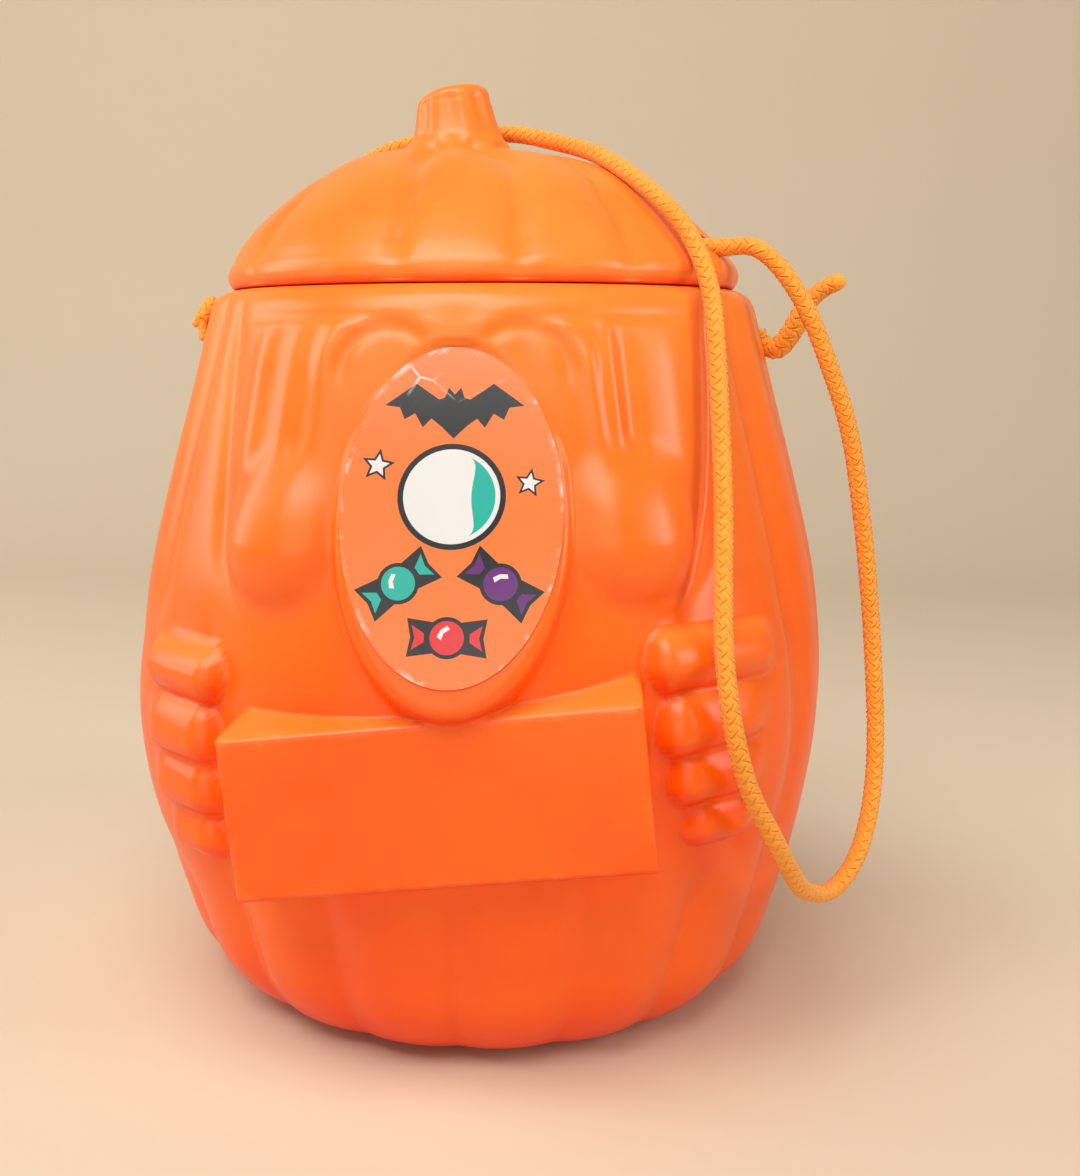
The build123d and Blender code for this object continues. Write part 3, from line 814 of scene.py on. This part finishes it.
def pailRows():  # radius, height and zone of each row: foot, side, shoulder, lip, inside, floor
    rows = [(r, z, "flat") for r, z in footLine]
    along = alongLine(sideLine)
    top = np.interp(pailShape["height"] - pailShape["shoulder"], sideLine[:, 1], along)
    fine = np.linspace(0, top, signRows["samples"])
    up = np.interp(fine, along, sideLine[:, 1]) - signBoard["height"]
    crowd = bell(up - signRows["half"], signRows["width"]) + bell(up + signRows["half"], signRows["width"])
    coarse = 1 / pailShape["rowStep"]
    rate = coarse + (1 / pailShape["fineStep"] - coarse) * np.minimum(crowd, 1)
    tally = np.concatenate([[0], np.cumsum((rate[1:] + rate[:-1]) / 2 * np.diff(fine))])
    for s in np.interp(np.linspace(0, tally[-1], int(tally[-1]) + 1), tally, fine):
        rows.append((np.interp(s, along, sideLine[:, 0]), np.interp(s, along, sideLine[:, 1]), "side"))
    for angle in range(pailShape["shoulderStep"], 91, pailShape["shoulderStep"]):
        a = math.radians(angle)
        rows.append((pailShape["lipEdge"] + pailShape["shoulder"] * math.cos(a),
                     pailShape["height"] - pailShape["shoulder"] * (1 - math.sin(a)), "shoulder"))
    mouth = pailShape["lipEdge"] - pailShape["lipWidth"]
    rows += [(mouth + r, z, "flat") for r, z in lipLine]
    for z in np.linspace(*hollow["span"], hollow["rows"]):
        rows.append((hollow["guide"], float(z), "inside"))
    return rows + [(r, z, "flat") for r, z in bowlLine]


def buildPail():
    rows = pailRows()
    columns = pailShape["frontColumns"] + pailShape["backColumns"]
    bm, row, spun = spinProfile([(r, z) for r, z, zone in rows], columns)
    split = 180 * pailShape["frontColumns"] / columns  # the front's columns stand closer
    half = pailShape["frontHalf"]
    theta = np.interp(spun, (-180, -split, split, 180), (-180, -half, half, 180))
    radius = np.array([r for r, z, zone in rows])[row]
    z = np.array([z for r, z, zone in rows])[row]
    zone = np.array([zone for r, z, zone in rows])[row]
    tilt = math.tan(math.radians(signBoard["tilt"]))
    x = np.clip(signAcross(theta), -rowTilt["reach"], rowTilt["reach"])
    follow = ease(*rowTilt["low"], z) * (1 - ease(*rowTilt["high"], z))
    follow = follow * (1 - ease(*rowTilt["side"], np.abs(theta)))
    z = np.where(zone == "side", z + tilt * x * follow, z)  # rows lie along the tilted sign
    skin = skinRadius(theta, z)
    shoulder = smoothMin(skin, radius, pailShape["shoulderBlend"])
    near = [skinRadius(theta + a, np.clip(z + d, hollow["lowest"], pailShape["height"]))
            for a in hollow["aside"] for d in hollow["above"]]
    inside = np.minimum.reduce(near) - pailShape["wall"]
    inside = np.where(z > hollow["neck"], np.minimum(inside, skin - hollow["neckWall"]), inside)
    out = np.select([zone == "side", zone == "shoulder", zone == "inside"], [skin, shoulder, inside], radius)
    bearing = np.radians(theta)
    setPlaces(bm, np.stack([out * np.sin(bearing), -out * np.cos(bearing), z], axis=1))
    bmesh.ops.recalc_face_normals(bm, faces=bm.faces)
    markPoints(bm, "edge", np.where(zone == "side", edgeWear(theta, z), 0))
    markPoints(bm, "facing", lookingUp(bm, zone == "side"))
    return dress("pailBody", bm, [plastic], "pail", ["pail_body"])


cordHole = dict(
    radius=2.6, sides=32, pailHeight=154.5, pailReach=(50, 80),
    lidHeight=174.5, lidReach=(44, 76), lidAngle=70.0,
)
pail = buildPail()
pailDrills = []
for side in (1, -1):
    near, far = [(side * r, 0, cordHole["pailHeight"]) for r in cordHole["pailReach"]]
    pailDrills.append((near, far, cordHole["radius"]))
drillHoles(pail, pailDrills)
print("pail moulded", len(pail.data.polygons), "faces")

# Lid

lidShape = dict(
    wall=2.0, columns=360, perSpan=5, crownShift=5.6, leftSwell=2.6, swellAngle=-82, swellWidth=52,
    grooveDepth=1.0, grooveWidth=2.4, grooveFrom=165.8, grooveInner=6, lobeDepth=0.7, lobePower=2.4,
    hollowFrom=168.2, hollowInner=0.2, hollowTop=211.5, wornHeight=167, wornWidth=1.6, wornFrom=57,
)
stem = dict(
    flutes=8, fluteDepth=0.8, fluteTurn=14, fluteFloor=0.25, fluteBlend=0.3,
    fluteStart=(198, 201), fluteEnd=(208.5, 211.5), slant=1.4, slantHeights=(198, 212),
    cutHeights=(203, 212), cutLean=0.14, cutDrop=0.9, cutFrom=1, cutCurve=0.04, cutPower=1.5,
)
lidLine = smoothLine([  # radius and height from the rim to the stem's end
    (57.2, 165.3), (58.2, 165.2), (59.1, 166.2), (59.6, 167.9), (59.2, 169.6), (57.7, 171.8),
    (54.2, 175.7), (49.4, 180.2), (44.3, 184.3), (39.0, 188.1), (32.4, 191.9), (24.6, 194.7),
    (17.0, 196.3), (13.2, 197.4), (11.4, 199.2), (10.3, 202.0), (9.4, 205.6), (8.8, 208.6),
    (8.2, 210.4), (6.6, 211.7), (3.4, 212.2), (0.0, 212.3),
], lidShape["perSpan"])
plugLine = [  # from the lid's inside, round the plug ring, to the rim
    (56.8, 167.4), (53.0, 167.3), (52.3, 166.9), (52.2, 166), (52.2, 162), (52.2, 159.6), (52.6, 159.1),
    (53.6, 159.0), (54.1, 159.5), (54.2, 161), (54.2, 164.6), (54.6, 165.05), (56.0, 165.1), (56.6, 165.5),
]
lidGrooves = (-180, -146, -112, -51.5, -12.5, 11.5, 35, 62, 108, 144, 180)  # degrees from the front
lidGrooveFade = ((165.9, 0.2), (168.5, 0.3), (175, 1), (188, 1), (193, 1.5), (196.5, 1.3), (199, 0))
lidCrowd = ((168, 0), (185, 9), (194.5, 24), (212, 24))  # height, degrees by which grooves spread sideways
lidShift = ((180, 0), (184.3, 0.03), (188.1, 0.14), (191.9, 0.34), (194.7, 0.62), (196.6, 1), (212, 1))
lidSwell = ((171, 0), (175, 0.5), (179, 0.85), (183, 1), (195, 1), (197, 0.5), (199, 0))
lidRun = np.gradient(lidLine, axis=0)
lidRun /= np.linalg.norm(lidRun, axis=1)[:, None]


def lidRows():  # radius and height of each row: inside, plug ring, outside
    inner = lidLine - lidShape["wall"] * np.stack([lidRun[:, 1], -lidRun[:, 0]], axis=1)
    kept = (inner[:, 1] > lidShape["hollowFrom"]) & (inner[:, 0] > lidShape["hollowInner"])
    inner = inner[kept & (lidLine[:, 1] < lidShape["hollowTop"])]
    rows = [(0, inner[-1, 1])] + [tuple(p) for p in inner[::-1]]
    return rows + plugLine + [tuple(p) for p in lidLine]


def buildLid():
    rows = lidRows()
    bm, row, theta = spinProfile(rows, lidShape["columns"])
    radius = np.array([r for r, z in rows])[row]
    z = np.array([z for r, z in rows])[row]
    apart = theta - np.interp(z, *zip(*lidCrowd)) * np.sin(np.radians(theta))
    lobe = np.clip(np.searchsorted(lidGrooves, apart) - 1, 0, len(lidGrooves) - 2)
    start, end = np.array(lidGrooves)[lobe], np.array(lidGrooves)[lobe + 1]
    away = np.minimum(apart - start, end - apart) * radius * math.pi / 180
    sunk = lidShape["grooveDepth"] * bell(away, lidShape["grooveWidth"])
    across = np.abs((2 * apart - start - end) / (end - start))
    sunk = sunk + lidShape["lobeDepth"] * across ** lidShape["lobePower"]
    shown = (z > lidShape["grooveFrom"]) & (radius >= lidShape["grooveInner"])
    sunk = sunk * (np.interp(z, *zip(*lidGrooveFade)) * shown)
    flute = ease(*stem["fluteStart"], z) * (1 - ease(*stem["fluteEnd"], z))
    ripple = 0.5 + 0.5 * np.cos(np.radians(theta * stem["flutes"] + stem["fluteTurn"]))
    dome = 2 * lidShape["perSpan"]  # past the rim's lowest points the line only climbs
    steep = np.interp(z, lidLine[dome:, 1], lidRun[dome:, 1])  # grooves are sunk square to the dome
    out = radius - sunk * steep
    z = z - sunk * np.sqrt(1 - steep**2)
    out = out - stem["fluteDepth"] * flute * smoothMax(ripple, stem["fluteFloor"], stem["fluteBlend"])
    swell = bell(theta - lidShape["swellAngle"], lidShape["swellWidth"])
    out = out + lidShape["leftSwell"] * np.interp(z, *zip(*lidSwell)) * swell
    shift = lidShape["crownShift"] * np.interp(z, *zip(*lidShift))
    shift = shift + stem["slant"] * ease(*stem["slantHeights"], z)
    bearing = np.radians(theta)
    x, y = out * np.sin(bearing), -out * np.cos(bearing)
    top = ease(*stem["cutHeights"], z)  # the cut end falls away to the left
    curve = stem["cutCurve"] * top * np.clip(-x - stem["cutFrom"], 0, None) ** stem["cutPower"]
    z = z + top * (stem["cutLean"] * x - stem["cutDrop"]) - curve
    setPlaces(bm, np.stack([x - shift, y, z], axis=1))
    bmesh.ops.recalc_face_normals(bm, faces=bm.faces)
    wear = bell(z - lidShape["wornHeight"], lidShape["wornWidth"]) * (radius > lidShape["wornFrom"])
    markPoints(bm, "edge", wear)
    markPoints(bm, "facing", lookingUp(bm, row >= len(rows) - len(lidLine)))
    return dress("lidShell", bm, [plastic], "lid", ["lid"])


lid = buildLid()
aim = math.radians(cordHole["lidAngle"])
lidDrills = []
for side in (1, -1):
    near, far = [(side * r * math.sin(aim), -side * r * math.cos(aim), cordHole["lidHeight"])
                 for r in cordHole["lidReach"]]
    lidDrills.append((near, far, cordHole["radius"]))
drillHoles(lid, lidDrills)
print("lid moulded", len(lid.data.polygons), "faces")

# Label

inkColours = dict(
    orange=paint(246, 116, 40), black=paint(16, 12, 12), teal=paint(10, 168, 151), white=paint(222, 218, 213),
    purple=paint(98, 20, 112), red=paint(216, 36, 42),
)
inkNames = list(inkColours)
inks = [printedInk(name + "Ink", inkColours[name]) for name in inkNames]
labelMotifs = dict(
    bat=(0.0, 20.6), moon=(0.0, 3.6), moonRing=10.4, moonDisc=9.3, shadeShift=4.6, shadeInset=0.9,
    stars=[(-14.4, 9.6, 3.4), (14.8, 6.4, 3.0)], starNotch=0.46, starTurn=8, starFill=0.68,
    sweets=[("teal", -9.6, -13.4, 35), ("purple", 9.8, -13.2, -35), ("red", 0.0, -23.6, 0)],
)
batHalf = [
    (0, 3.2), (1.2, 4.6), (1.9, 2.6), (3.0, 2.2), (7.5, 5.4), (13.5, 1.0), (10.6, 0.6),
    (9.6, -1.8), (7.6, -0.6), (6.0, -3.4), (4.4, -1.6), (2.4, -3.2), (0, -5.6),
]
sweetSizes = dict(paper=4.0, drop=3.25, bend=42, tail=[(7.6, 3.7), (6.9, 0.0), (7.6, -3.7)])
sweetWrap = [(4.3, 0.8), (6.7, 2.4), (6.1, 0.0), (6.7, -2.4), (4.3, -0.8)]
sweetStripe = [(-1.9, 0.2), (-1.2, 1.5), (0.0, 2.3), (0.6, 1.7), (-0.6, 0.9), (-1.1, -0.4)]


def roundDot(x, y, radius, steps):
    turn = np.linspace(0, 2 * math.pi, steps, endpoint=False)
    return [(x + radius * math.sin(a), y + radius * math.cos(a)) for a in turn]


def starShape(x, y, radius):
    notch = radius * labelMotifs["starNotch"]
    spokes = [(notch if k % 2 else radius, math.radians(36 * k + labelMotifs["starTurn"])) for k in range(10)]
    return [(x + r * math.sin(a), y + r * math.cos(a)) for r, a in spokes]


def turned(points, x, y, angle):
    a = math.radians(angle)
    return [(x + u * math.cos(a) - v * math.sin(a), y + u * math.sin(a) + v * math.cos(a)) for u, v in points]


def arcLine(radius, first, last, steps=12):
    turn = np.linspace(math.radians(first), math.radians(last), steps)
    return [(radius * math.sin(a), radius * math.cos(a)) for a in turn]


def sweetShapes(x, y, angle):  # outline, drop, stripe and two wrapper ends of a wrapped sweet
    bend, tail = sweetSizes["bend"], sweetSizes["tail"]
    outline = arcLine(sweetSizes["paper"], -bend, bend) + tail
    outline += arcLine(sweetSizes["paper"], 180 - bend, 180 + bend) + [(-u, -v) for u, v in tail]
    drop = roundDot(0, 0, sweetSizes["drop"], 32)
    shapes = (outline, drop, sweetStripe, sweetWrap, [(-u, v) for u, v in sweetWrap])
    return [turned(shape, x, y, angle) for shape in shapes]


def labelRegions():  # ink, outline and holes of each printed area
    oval = [(labelPlane["halfWidth"] * math.sin(a), labelPlane["halfHeight"] * math.cos(a))
            for a in np.linspace(0, 2 * math.pi, 96, endpoint=False)]
    ground = []
    regions = [("orange", oval, ground)]
    batX, batY = labelMotifs["bat"]
    bat = [(batX + u, batY + v) for u, v in batHalf]
    bat += [(batX - u, batY + v) for u, v in batHalf[-2:0:-1]]
    ground.append(bat)
    regions.append(("black", bat, []))
    moonX, moonY = labelMotifs["moon"]
    ring = roundDot(moonX, moonY, labelMotifs["moonRing"], 56)
    disc = roundDot(moonX, moonY, labelMotifs["moonDisc"], 56)
    lit = labelMotifs["moonDisc"] - labelMotifs["shadeInset"]
    turn = np.linspace(math.radians(24), math.radians(156), 24)
    shade = [(moonX + lit * math.sin(a), moonY + lit * math.cos(a)) for a in turn]
    for a, b in zip(turn[-2:0:-1], np.linspace(0, math.pi, 24)[-2:0:-1]):
        hollowed = lit - labelMotifs["shadeShift"] * math.sin(b)
        shade.append((moonX + hollowed * math.sin(a), moonY + lit * math.cos(a)))
    ground.append(ring)
    regions += [("black", ring, [disc]), ("white", disc, [shade]), ("teal", shade, [])]
    for x, y, radius in labelMotifs["stars"]:
        outer, inner = starShape(x, y, radius), starShape(x, y, radius * labelMotifs["starFill"])
        ground.append(outer)
        regions += [("black", outer, [inner]), ("white", inner, [])]
    for ink, x, y, angle in labelMotifs["sweets"]:
        outline, drop, stripe, wrapRight, wrapLeft = sweetShapes(x, y, angle)
        ground.append(outline)
        regions += [("black", outline, [drop, wrapRight, wrapLeft]), (ink, drop, [stripe])]
        regions += [("white", stripe, []), (ink, wrapRight, []), (ink, wrapLeft, [])]
    return regions


def buildLabel():
    bm = bmesh.new()
    made = {}

    def edgesOf(points):
        key = tuple(np.round(points[0], 4)) + (len(points),)
        if key not in made:
            verts = [bm.verts.new((x, 0, y)) for x, y in points]
            made[key] = [bm.edges.new((verts[i - 1], verts[i])) for i in range(len(verts))]
        return made[key]

    for ink, outline, holes in labelRegions():
        edges = list(edgesOf(outline))
        for hole in holes:
            edges += edgesOf(hole)
        filled = bmesh.ops.triangle_fill(bm, use_beauty=True, use_dissolve=False, edges=edges,
                                         normal=(0, -1, 0))
        for face in filled["geom"]:
            if isinstance(face, bmesh.types.BMFace):
                face.material_index = inkNames.index(ink)
    bmesh.ops.recalc_face_normals(bm, faces=bm.faces)
    if sum(f.normal.y for f in bm.faces) > 0:
        bmesh.ops.reverse_faces(bm, faces=bm.faces)
    back = bmesh.ops.extrude_face_region(bm, geom=bm.faces[:], use_keep_orig=True)["geom"]
    sunk = [v for v in back if isinstance(v, bmesh.types.BMVert)]
    bmesh.ops.translate(bm, vec=(0, labelPlane["thickness"] + labelPlane["sunk"], 0), verts=sunk)
    bmesh.ops.recalc_face_normals(bm, faces=bm.faces)
    lean = math.radians(labelPlane["lean"])
    bmesh.ops.translate(bm, vec=(0, -labelPlane["thickness"], 0), verts=bm.verts)
    for vert in bm.verts:
        x, y, z = vert.co
        vert.co = (x, y * math.cos(lean) + z * math.sin(lean) - labelPlane["front"],
                   z * math.cos(lean) - y * math.sin(lean) + labelPlane["height"])
    return dress("faceLabel", bm, inks, "pail", ["face_sticker"], sharp=30)


buildLabel()
print("label printed")
